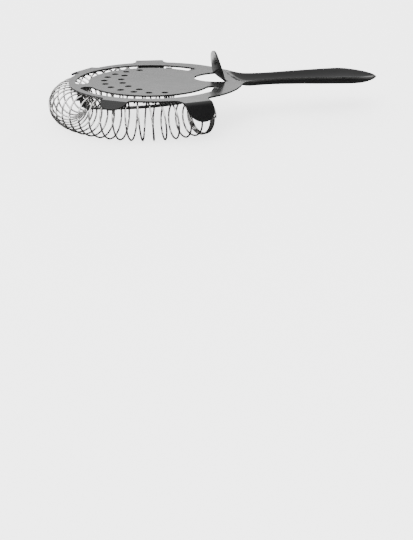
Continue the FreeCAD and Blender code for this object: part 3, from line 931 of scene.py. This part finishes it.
@dataclass
class CoilSpring:
    """Round wire wound round an arc, with closed turns at both ends."""

    wire: float = 0.92
    coil: float = 9.465
    path: float = 39.29
    centre_x: float = -6.5
    gap: float = 0.2
    turn_degrees: float = 7.8
    open_turns: int = 31
    start_degrees: float = -59.55
    end_degrees: float = 1.6
    straight_degrees: float = 66.0
    end_turns: int = 3
    end_dome: float = 0.72
    steps: int = 60
    sides: int = 14

    STRETCHES = (
        Stretch("coil_near_run", (-3, 3), ("spring_near_end", "spring_near_side"),
                ("root", "spring_near"), (21.0, 6.0)),
        Stretch("coil_near_bend", (3, 7), ("spring_near_corner",),
                ("spring_near", "root"), (-4.0, -18.6)),
        Stretch("coil_front", (7, 24), ("spring_front_bow",),
                ("root", "spring_front"), (-26.6, -50.0)),
        Stretch("coil_far_bend", (24, 28), ("spring_far_corner",),
                ("spring_far", "root"), (-4.0, -18.6)),
        Stretch("coil_far_run", (28, 34), ("spring_far_end", "spring_far_side"),
                ("root", "spring_far"), (21.0, 6.0)),
    )

    def core(self, turns: np.ndarray) -> tuple[np.ndarray, np.ndarray]:
        """Follows the middle of the coil: a circle round the front, straight on at both ends.

        Args:
            turns: numbers of turns from the coil's near end.

        Returns:
            Places on the middle of the coil, and its outward directions there.
        """
        opened = np.clip(turns, 0, self.open_turns)
        along = self.start_degrees - opened * self.turn_degrees - (turns - opened) * self.end_degrees
        side = np.where(along > -180, 1, -1)
        from_end = np.where(along > -180, along, -360 - along)
        straight = np.clip(self.straight_degrees + from_end, 0, None)
        angle = np.radians(side * (from_end - straight))
        run = side * np.radians(straight) * self.path
        out = np.column_stack([np.cos(angle), np.sin(angle), np.zeros(len(angle))])
        ahead = np.column_stack([-np.sin(angle), np.cos(angle), np.zeros(len(angle))])
        start = (self.centre_x, 0, -self.gap - self.wire / 2 - self.coil)
        return start + out * self.path + ahead * run[:, None], out

    def middle(self, turns: np.ndarray) -> np.ndarray:
        """Middle of the wire after a number of turns, in millimetres."""
        core, out = self.core(turns)
        around = np.radians(90 - 360 * turns)[:, None]
        return core + self.coil * (out * np.sin(around) + np.array((0, 0, 1)) * np.cos(around))

    def tube(self, stretch: Stretch) -> bpy.types.Object:
        """Makes one closed tube of wire whose free ends are slightly domed.

        Args:
            stretch: which part of the wire.

        Returns:
            The object.
        """
        first, last = stretch.turns
        turns = np.linspace(first, last, int((last - first) * self.steps) + 1)
        place = self.middle(turns)
        ahead = self.middle(turns + 1e-4) - self.middle(turns - 1e-4)
        ahead /= np.linalg.norm(ahead, axis=1)[:, None]
        out = place - self.core(turns)[0]
        out -= (out * ahead).sum(axis=1)[:, None] * ahead
        out /= np.linalg.norm(out, axis=1)[:, None]
        side = np.cross(ahead, out)
        rings = []
        angles = np.linspace(0, 2 * math.pi, self.sides, endpoint=False)
        shrink = np.ones(len(turns))
        shrink[0] = self.end_dome if first == -self.end_turns else 1.0
        shrink[-1] = self.end_dome if last == self.open_turns + self.end_turns else 1.0
        for angle in angles:
            ray = out * math.cos(angle) + side * math.sin(angle)
            rings.append(place + ray * (self.wire / 2 * shrink)[:, None])
        vertices = np.stack(rings, axis=1).reshape(-1, 3)
        length = turns * 2 * math.pi * self.coil
        faces = []
        for i in range(len(turns) - 1):
            for j in range(self.sides):
                k = (j + 1) % self.sides
                faces.append((i * self.sides + j, i * self.sides + k,
                              (i + 1) * self.sides + k, (i + 1) * self.sides + j))
        end = (len(turns) - 1) * self.sides
        faces.append(tuple(range(self.sides))[::-1])
        faces.append(tuple(range(end, end + self.sides)))
        mesh = bpy.data.meshes.new(stretch.name)
        mesh.from_pydata((vertices * MM).tolist(), [], faces)
        mesh.shade_smooth()
        drawn = np.stack([
            np.repeat(length, self.sides), np.tile(np.cos(angles), len(turns)),
            np.tile(np.sin(angles), len(turns))], axis=1)
        mesh.attributes.new("drawn", "FLOAT_VECTOR", "POINT").data.foreach_set(
            "vector", drawn.astype(np.float32).ravel())
        obj = bpy.data.objects.new(stretch.name, mesh)
        bpy.context.collection.objects.link(obj)
        return obj

    def build(self) -> list[tuple[Stretch, bpy.types.Object]]:
        """Makes every stretch of wire."""
        return [(stretch, self.tube(stretch)) for stretch in self.STRETCHES]


# ---------------------------------------------------------------- materials
def new_group(name: str, inputs: dict[str, float],
              outputs: Sequence[str]) -> bpy.types.ShaderNodeTree:
    """Empty shader node group with its sockets.

    Args:
        name: the group's name.
        inputs: float inputs and their defaults; an input named Place or Normal is a vector.
        outputs: float outputs; one named Normal is a vector.

    Returns:
        The group, with its input and output nodes in it.
    """
    group = bpy.data.node_groups.new(name, "ShaderNodeTree")
    vectors = ("Place", "Normal")
    for socket, value in inputs.items():
        kind = "NodeSocketVector" if socket in vectors else "NodeSocketFloat"
        made = group.interface.new_socket(name=socket, in_out="INPUT", socket_type=kind)
        if socket not in vectors:
            made.default_value = value
    for socket in outputs:
        kind = "NodeSocketVector" if socket in vectors else "NodeSocketFloat"
        group.interface.new_socket(name=socket, in_out="OUTPUT", socket_type=kind)
    group.nodes.new("NodeGroupInput")
    group.nodes.new("NodeGroupOutput")
    return group


def ends(group: bpy.types.ShaderNodeTree) -> tuple[bpy.types.Node, bpy.types.Node]:
    """Input and output nodes of a group."""
    kinds = {node.bl_idname: node for node in group.nodes}
    return kinds["NodeGroupInput"], kinds["NodeGroupOutput"]


def math_node(tree: bpy.types.NodeTree, operation: str,
              *values: bpy.types.NodeSocket | float) -> bpy.types.NodeSocket:
    """Adds a math node.

    Args:
        tree: where it goes.
        operation: Blender's name of the operation.
        values: sockets or numbers for its inputs.

    Returns:
        Its result.
    """
    node = tree.nodes.new("ShaderNodeMath")
    node.operation = operation
    for index, value in enumerate(values):
        if isinstance(value, bpy.types.NodeSocket):
            tree.links.new(value, node.inputs[index])
        else:
            node.inputs[index].default_value = value
    return node.outputs[0]


def grain_group() -> bpy.types.ShaderNodeTree:
    """Rolled grain: long fine streaks, as a value from 0 to 1."""
    group = new_group("rolled_grain", {"Place": 0, "Scale": 900.0, "Stretch": 0.04}, ["Grain"])
    start, end = ends(group)
    nodes, links = group.nodes, group.links
    combine = nodes.new("ShaderNodeCombineXYZ")
    links.new(start.outputs["Stretch"], combine.inputs["X"])
    combine.inputs["Y"].default_value = 1.0
    combine.inputs["Z"].default_value = 1.0
    squeeze = nodes.new("ShaderNodeVectorMath")
    squeeze.operation = "MULTIPLY"
    links.new(start.outputs["Place"], squeeze.inputs[0])
    links.new(combine.outputs[0], squeeze.inputs[1])
    noise = nodes.new("ShaderNodeTexNoise")
    links.new(squeeze.outputs[0], noise.inputs["Vector"])
    links.new(start.outputs["Scale"], noise.inputs["Scale"])
    noise.inputs["Detail"].default_value = 3.0
    noise.inputs["Roughness"].default_value = 0.6
    links.new(noise.outputs[0], end.inputs["Grain"])
    return group


def mottle_group() -> bpy.types.ShaderNodeTree:
    """Soft uneven patches, as a value from 0 to 1."""
    group = new_group("soft_mottle", {"Place": 0, "Scale": 60.0}, ["Mottle"])
    start, end = ends(group)
    noise = group.nodes.new("ShaderNodeTexNoise")
    group.links.new(start.outputs["Place"], noise.inputs["Vector"])
    group.links.new(start.outputs["Scale"], noise.inputs["Scale"])
    noise.inputs["Detail"].default_value = 2.0
    noise.inputs["Roughness"].default_value = 0.5
    smooth = group.nodes.new("ShaderNodeMapRange")
    smooth.interpolation_type = "SMOOTHSTEP"
    smooth.inputs["From Min"].default_value = 0.3
    smooth.inputs["From Max"].default_value = 0.7
    group.links.new(noise.outputs[0], smooth.inputs["Value"])
    group.links.new(smooth.outputs["Result"], end.inputs["Mottle"])
    return group


def relief_group() -> bpy.types.ShaderNodeTree:
    """Two fine heights turned into one bumped normal."""
    group = new_group("fine_relief", {"Fine": 0.5, "Broad": 0.5, "Fine height": 0.3,
                                      "Broad height": 0.3}, ["Normal"])
    start, end = ends(group)
    given = start.outputs
    broad = math_node(group, "MULTIPLY", given["Broad"], given["Broad height"])
    height = math_node(group, "MULTIPLY_ADD", given["Fine"], given["Fine height"], broad)
    bump = group.nodes.new("ShaderNodeBump")
    bump.inputs["Strength"].default_value = 1.0
    bump.inputs["Distance"].default_value = 0.00001
    group.links.new(height, bump.inputs["Height"])
    group.links.new(bump.outputs["Normal"], end.inputs["Normal"])
    return group


class Groups:
    """The shared node groups, made once."""

    def __init__(self) -> None:
        """Makes every group."""
        self.grain = grain_group()
        self.mottle = mottle_group()
        self.relief = relief_group()

    def add(self, tree: bpy.types.NodeTree, group: bpy.types.ShaderNodeTree,
            **values: bpy.types.NodeSocket | float) -> bpy.types.Node:
        """Puts a group into a material.

        Args:
            tree: the material's tree.
            group: which group.
            values: sockets or numbers for its inputs, with underscores for spaces.

        Returns:
            The group node.
        """
        node = tree.nodes.new("ShaderNodeGroup")
        node.node_tree = group
        for key, value in values.items():
            socket = node.inputs[key.replace("_", " ")]
            if isinstance(value, bpy.types.NodeSocket):
                tree.links.new(value, socket)
            else:
                socket.default_value = value
        return node


def empty_material(name: str) -> tuple[bpy.types.Material, bpy.types.NodeTree, bpy.types.Node]:
    """Material with only a Principled shader and its output."""
    material = bpy.data.materials.new(name)
    material.use_nodes = True
    tree = material.node_tree
    tree.nodes.clear()
    output = tree.nodes.new("ShaderNodeOutputMaterial")
    shader = tree.nodes.new("ShaderNodeBsdfPrincipled")
    tree.links.new(shader.outputs[0], output.inputs["Surface"])
    return material, tree, shader


@dataclass(frozen=True)
class BlackCoating:
    """Thin satin black coating on pressed steel, a little worn at the sheared edges."""

    colour: tuple[float, float, float] = (0.004, 0.004, 0.0042)
    worn: tuple[float, float, float] = (0.010, 0.0098, 0.0095)
    roughness: float = 0.2
    ior: float = 1.30
    grain_scale: float = 2600.0
    grain_stretch: float = 0.03
    grain_height: float = 0.05
    grain_gloss: float = 0.10
    mottle_scale: float = 110.0
    mottle_height: float = 1.2
    mottle_gloss: float = 0.03
    wear: tuple[float, float] = (0.5, 0.35)

    def material(self, groups: Groups) -> bpy.types.Material:
        """Makes the material."""
        material, tree, shader = empty_material("black_coating")
        place = tree.nodes.new("ShaderNodeTexCoord").outputs["Object"]
        grain = groups.add(tree, groups.grain, Place=place, Scale=self.grain_scale,
                           Stretch=self.grain_stretch).outputs[0]
        mottle = groups.add(tree, groups.mottle, Place=place, Scale=self.mottle_scale).outputs[0]
        edge = tree.nodes.new("ShaderNodeAttribute")
        edge.attribute_name = "edge"
        sharp = math_node(tree, "POWER", edge.outputs["Fac"], 2.0)
        patches = math_node(tree, "MULTIPLY_ADD", mottle, *self.wear)
        rubbed = math_node(tree, "MULTIPLY", sharp, patches)
        mix = tree.nodes.new("ShaderNodeMix")
        mix.data_type = "RGBA"
        mix.inputs["A"].default_value = (*self.colour, 1)
        mix.inputs["B"].default_value = (*self.worn, 1)
        tree.links.new(rubbed, mix.inputs["Factor"])
        tree.links.new(mix.outputs["Result"], shader.inputs["Base Color"])
        middle = self.roughness - self.grain_gloss / 2
        rough = math_node(tree, "MULTIPLY_ADD", grain, self.grain_gloss, middle)
        rough = math_node(tree, "MULTIPLY_ADD", mottle, self.mottle_gloss, rough)
        tree.links.new(rough, shader.inputs["Roughness"])
        shader.inputs["IOR"].default_value = self.ior
        shader.inputs["Metallic"].default_value = 0.0
        relief = groups.add(tree, groups.relief, Fine=grain, Broad=mottle,
                            Fine_height=self.grain_height, Broad_height=self.mottle_height)
        tree.links.new(relief.outputs["Normal"], shader.inputs["Normal"])
        return material


@dataclass(frozen=True)
class SpringSteel:
    """Bright drawn spring wire with fine lengthwise streaks."""

    colour: tuple[float, float, float] = (0.72, 0.71, 0.70)
    dull: tuple[float, float, float] = (0.40, 0.395, 0.39)
    edge_tint: float = 0.12
    streak_scale: float = 4.0
    streak_stretch: float = 0.02
    streak_share: float = 0.6
    streak_gloss: float = 0.10
    mottle_scale: float = 240.0
    mottle_gloss: float = 0.04
    roughness: float = 0.12

    def material(self, groups: Groups) -> bpy.types.Material:
        """Makes the material."""
        material, tree, shader = empty_material("drawn_spring_steel")
        drawn = tree.nodes.new("ShaderNodeAttribute")
        drawn.attribute_name = "drawn"
        streak = groups.add(tree, groups.grain, Place=drawn.outputs["Vector"],
                            Scale=self.streak_scale, Stretch=self.streak_stretch).outputs[0]
        place = tree.nodes.new("ShaderNodeTexCoord").outputs["Object"]
        mottle = groups.add(tree, groups.mottle, Place=place, Scale=self.mottle_scale).outputs[0]
        mix = tree.nodes.new("ShaderNodeMix")
        mix.data_type = "RGBA"
        mix.inputs["A"].default_value = (*self.colour, 1)
        mix.inputs["B"].default_value = (*self.dull, 1)
        dulled = math_node(tree, "MULTIPLY", streak, self.streak_share)
        tree.links.new(dulled, mix.inputs["Factor"])
        tree.links.new(mix.outputs["Result"], shader.inputs["Base Color"])
        middle = self.roughness - self.streak_gloss / 2
        rough = math_node(tree, "MULTIPLY_ADD", streak, self.streak_gloss, middle)
        rough = math_node(tree, "MULTIPLY_ADD", mottle, self.mottle_gloss, rough)
        tree.links.new(rough, shader.inputs["Roughness"])
        shader.inputs["Metallic"].default_value = 1.0
        shader.inputs["Specular Tint"].default_value = (*[self.edge_tint] * 3, 1)
        return material


# ---------------------------------------------------------------- studio
@dataclass
class Studio:
    """White product-photo surroundings and the camera."""

    azimuth: float = -14.0
    elevation: float = 12.9
    distance: float = 0.9
    lens: float = 115.5
    aim_right: float = 0.0255
    aim_down: float = 0.0985
    floor_z: float = -0.02005
    floor_half: float = 6.0
    floor_glow: float = 2.4
    card_lift: float = 0.0001
    sky_strength: float = 2.0

    PANELS = (
        ("key_panel", (-0.5, -0.9, 1.1), (0.9, 0.9), 14.0),
        ("back_panel", (0.3, 1.3, 0.7), (1.8, 0.8), 12.0),
    )
    CARD = (-0.10, 0.22, -0.22, 0.10)
    SKY = ((0.0, 0.03), (1.0, 1.3), (0.09, 0.04), (0.18, 0.25), (0.35, 0.30), (0.70, 0.7))

    def back(self) -> Vector:
        """Direction from the strainer to the camera."""
        a, e = math.radians(self.azimuth), math.radians(self.elevation)
        return Vector((math.sin(a) * math.cos(e), -math.cos(a) * math.cos(e), math.sin(e)))

    def camera(self) -> None:
        """Puts the camera where the strainer is seen as in the product photo."""
        back = self.back()
        a = math.radians(self.azimuth)
        right = Vector((math.cos(a), math.sin(a), 0))
        up = back.cross(right)
        centre = Vector((0, 0, 0.0009))
        data = bpy.data.cameras.new("camera")
        data.lens, data.sensor_width = self.lens, 36.0
        data.clip_start, data.clip_end = 0.01, 20.0
        cam = bpy.data.objects.new("camera", data)
        bpy.context.collection.objects.link(cam)
        cam.location = centre + back * self.distance
        target = centre + right * self.aim_right - up * self.aim_down
        cam.rotation_mode = "QUATERNION"
        cam.rotation_quaternion = (target - cam.location).to_track_quat("-Z", "Y")
        bpy.context.scene.camera = cam

    def panel(self, name: str, place: tuple[float, float, float], size: tuple[float, float],
              power: float) -> None:
        """Sets up a soft rectangular light aimed at the strainer.

        Args:
            name: the light's name.
            place: where it stands, in metres.
            size: its width and height.
            power: in watts.
        """
        light = bpy.data.lights.new(name, "AREA")
        light.shape = "RECTANGLE"
        light.size, light.size_y = size
        light.energy = power
        obj = bpy.data.objects.new(name, light)
        obj.location = place
        obj.rotation_mode = "QUATERNION"
        obj.rotation_quaternion = (-Vector(place)).to_track_quat("-Z", "Y")
        bpy.context.collection.objects.link(obj)

    def flat(self, name: str, box: tuple[float, float, float, float], z: float,
             material: bpy.types.Material) -> bpy.types.Object:
        """Lays a level rectangle.

        Args:
            name: the object's name.
            box: lowest and highest X, lowest and highest Y.
            z: its height.
            material: its finish.

        Returns:
            The staged object.
        """
        x0, x1, y0, y1 = box
        mesh = bpy.data.meshes.new(name)
        mesh.from_pydata([(x0, y0, z), (x1, y0, z), (x1, y1, z), (x0, y1, z)], [], [(0, 1, 2, 3)])
        mesh.materials.append(material)
        obj = bpy.data.objects.new(name, mesh)
        bpy.context.collection.objects.link(obj)
        return obj

    def floor(self) -> None:
        """Plain pale floor under the spring."""
        material, _, shader = empty_material("pale_floor")
        shader.inputs["Base Color"].default_value = (0.9, 0.9, 0.9, 1)
        shader.inputs["Roughness"].default_value = 0.7
        shader.inputs["Specular IOR Level"].default_value = 0.2
        shader.inputs["Emission Color"].default_value = (1, 1, 1, 1)
        shader.inputs["Emission Strength"].default_value = self.floor_glow
        half = self.floor_half
        self.flat("studio_floor", (-half, half, -half, half), self.floor_z, material)

    def dark_card(self) -> None:
        """Black card on the floor, out of the camera's sight, that keeps the coating dark below."""
        material, _, shader = empty_material("black_card")
        shader.inputs["Base Color"].default_value = (0.02, 0.02, 0.02, 1)
        shader.inputs["Roughness"].default_value = 0.9
        obj = self.flat("dark_card", self.CARD, self.floor_z + self.card_lift, material)
        obj.visible_camera = False
        obj.visible_shadow = False
        obj.visible_diffuse = False

    def world(self) -> None:
        """White surroundings, darker towards the ground."""
        world = bpy.data.worlds.new("white_studio")
        world.use_nodes = True
        bpy.context.scene.world = world
        tree = world.node_tree
        tree.nodes.clear()
        out = tree.nodes.new("ShaderNodeOutputWorld")
        background = tree.nodes.new("ShaderNodeBackground")
        where = tree.nodes.new("ShaderNodeTexCoord")
        split = tree.nodes.new("ShaderNodeSeparateXYZ")
        tree.links.new(where.outputs["Generated"], split.inputs[0])
        ramp = tree.nodes.new("ShaderNodeValToRGB")
        for element, (position, grey) in zip(ramp.color_ramp.elements, self.SKY):
            element.position, element.color = position, (grey, grey, grey, 1)
        for position, grey in self.SKY[2:]:
            ramp.color_ramp.elements.new(position).color = (grey, grey, grey, 1)
        tree.links.new(split.outputs["Z"], ramp.inputs["Fac"])
        tree.links.new(ramp.outputs["Color"], background.inputs["Color"])
        background.inputs["Strength"].default_value = self.sky_strength
        tree.links.new(background.outputs[0], out.inputs["Surface"])

    def build(self) -> None:
        """Sets up everything round the strainer."""
        self.floor()
        self.dark_card()
        self.world()
        self.camera()
        for panel in self.PANELS:
            self.panel(*panel)


# ---------------------------------------------------------------- assembly
def attach(obj: bpy.types.Object, body: str, nodes: Sequence[str],
           material: bpy.types.Material) -> None:
    """Finishes a piece and hands it to the frame.

    Args:
        obj: the piece.
        body: the body it rides on.
        nodes: the CAD nodes it stands for.
        material: its finish.
    """
    obj.data.materials.append(material)
    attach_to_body(obj, body)
    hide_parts(*nodes)


def corners(box: tuple[Vector, Vector]) -> list[list[float]]:
    """A box as plain lists."""
    return [list(box[0]), list(box[1])]


def main() -> None:
    """Builds the finished strainer over its CAD frame."""
    logging.basicConfig(level=logging.INFO, format="%(name)s: %(message)s")
    groups = Groups()
    black = BlackCoating().material(groups)
    steel = SpringSteel().material(groups)

    pressing = Pressing()
    nodes = pressing.replaced()
    for name, obj in pressing.build().items():
        attach(obj, "root", [nodes[name]], black)
        LOG.info("%s has %d faces", name, len(obj.data.polygons))
    attach(FingerTab().build(), "root", ["finger_tab"], black)
    for side in Side:
        attach(SpringTongue(side).build(), "root", [f"{side.word}_spring_tongue"], black)

    for stretch, obj in CoilSpring().build():
        obj.data.materials.append(steel)
        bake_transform(obj)
        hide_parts(*stretch.nodes)

    Studio().build()


if __name__ == "__main__":
    main()
